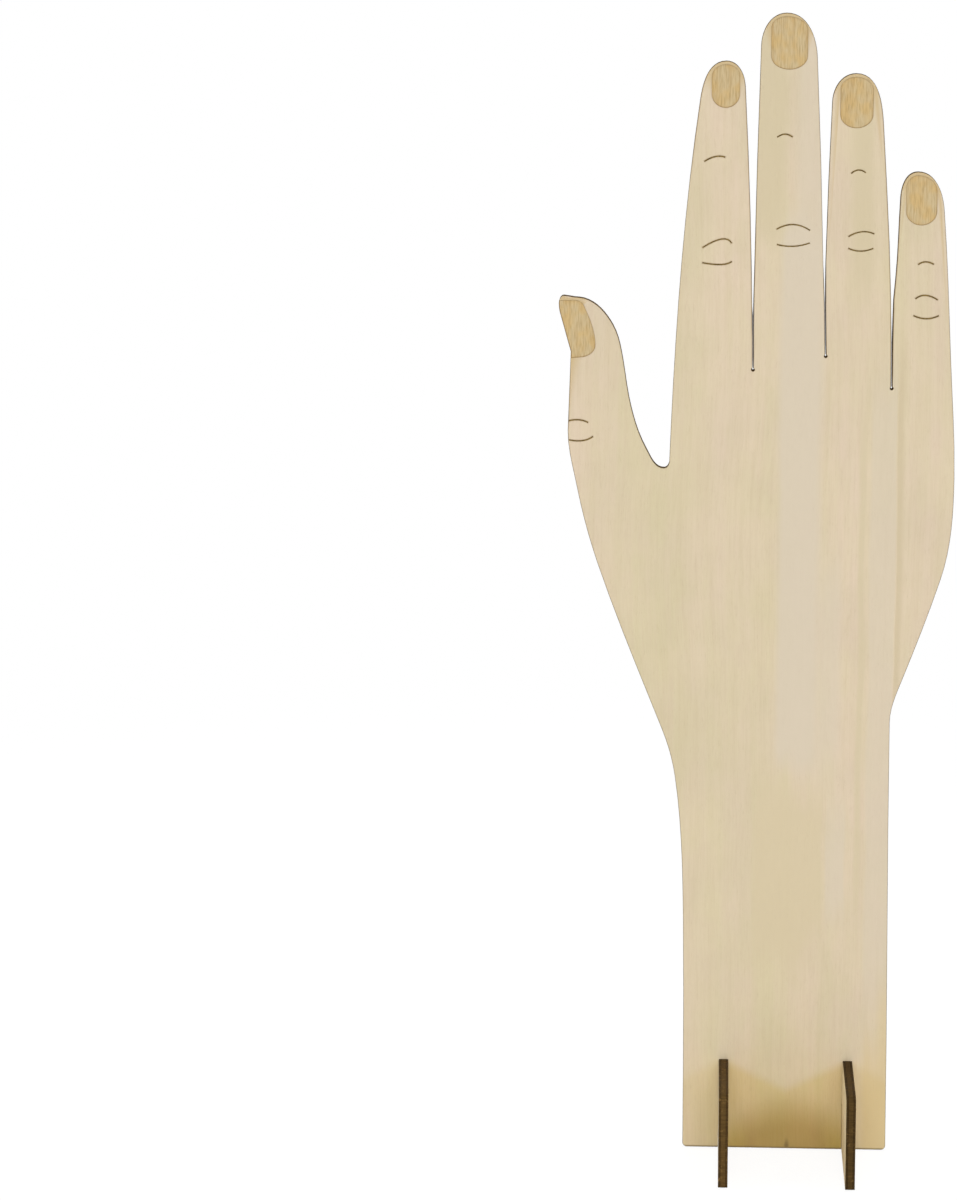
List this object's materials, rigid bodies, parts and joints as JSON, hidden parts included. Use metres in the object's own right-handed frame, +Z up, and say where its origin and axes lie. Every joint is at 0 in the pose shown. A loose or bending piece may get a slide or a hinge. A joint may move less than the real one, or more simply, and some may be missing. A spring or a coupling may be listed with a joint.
{
  "type": "glove display hand",
  "caption": "Flat plywood hand with engraved nails and knuckle lines, standing upright on slotted cross feet, for showing gloves.",
  "frame": {"origin": "on the ground, in the mid plane of the hand panel and half way between the two feet", "axes": "+Z up towards the fingertips, -Y out of the engraved front face, -X towards the thumb"},
  "size_m": [0.1155, 0.0816, 0.3383],
  "materials": {
    "hand_plywood": "bare birch-like veneer, laser-charred edges and engraving",
    "foot_plywood": "bare birch-like veneer, laser-charred edges"
  },
  "bodies": {
    "hand": {"hand_panel": "hand_plywood"},
    "left_foot": {"left_foot": "foot_plywood"},
    "right_foot": {"right_foot": "foot_plywood"}
  },
  "joints": [
    {"name": "left_foot_slide", "type": "slide", "parent": "hand", "child": "left_foot", "axis": [0, 0, -1], "range_m": [0, 0.032]},
    {"name": "right_foot_slide", "type": "slide", "parent": "hand", "child": "right_foot", "axis": [0, 0, -1], "range_m": [0, 0.032]}
  ]
}
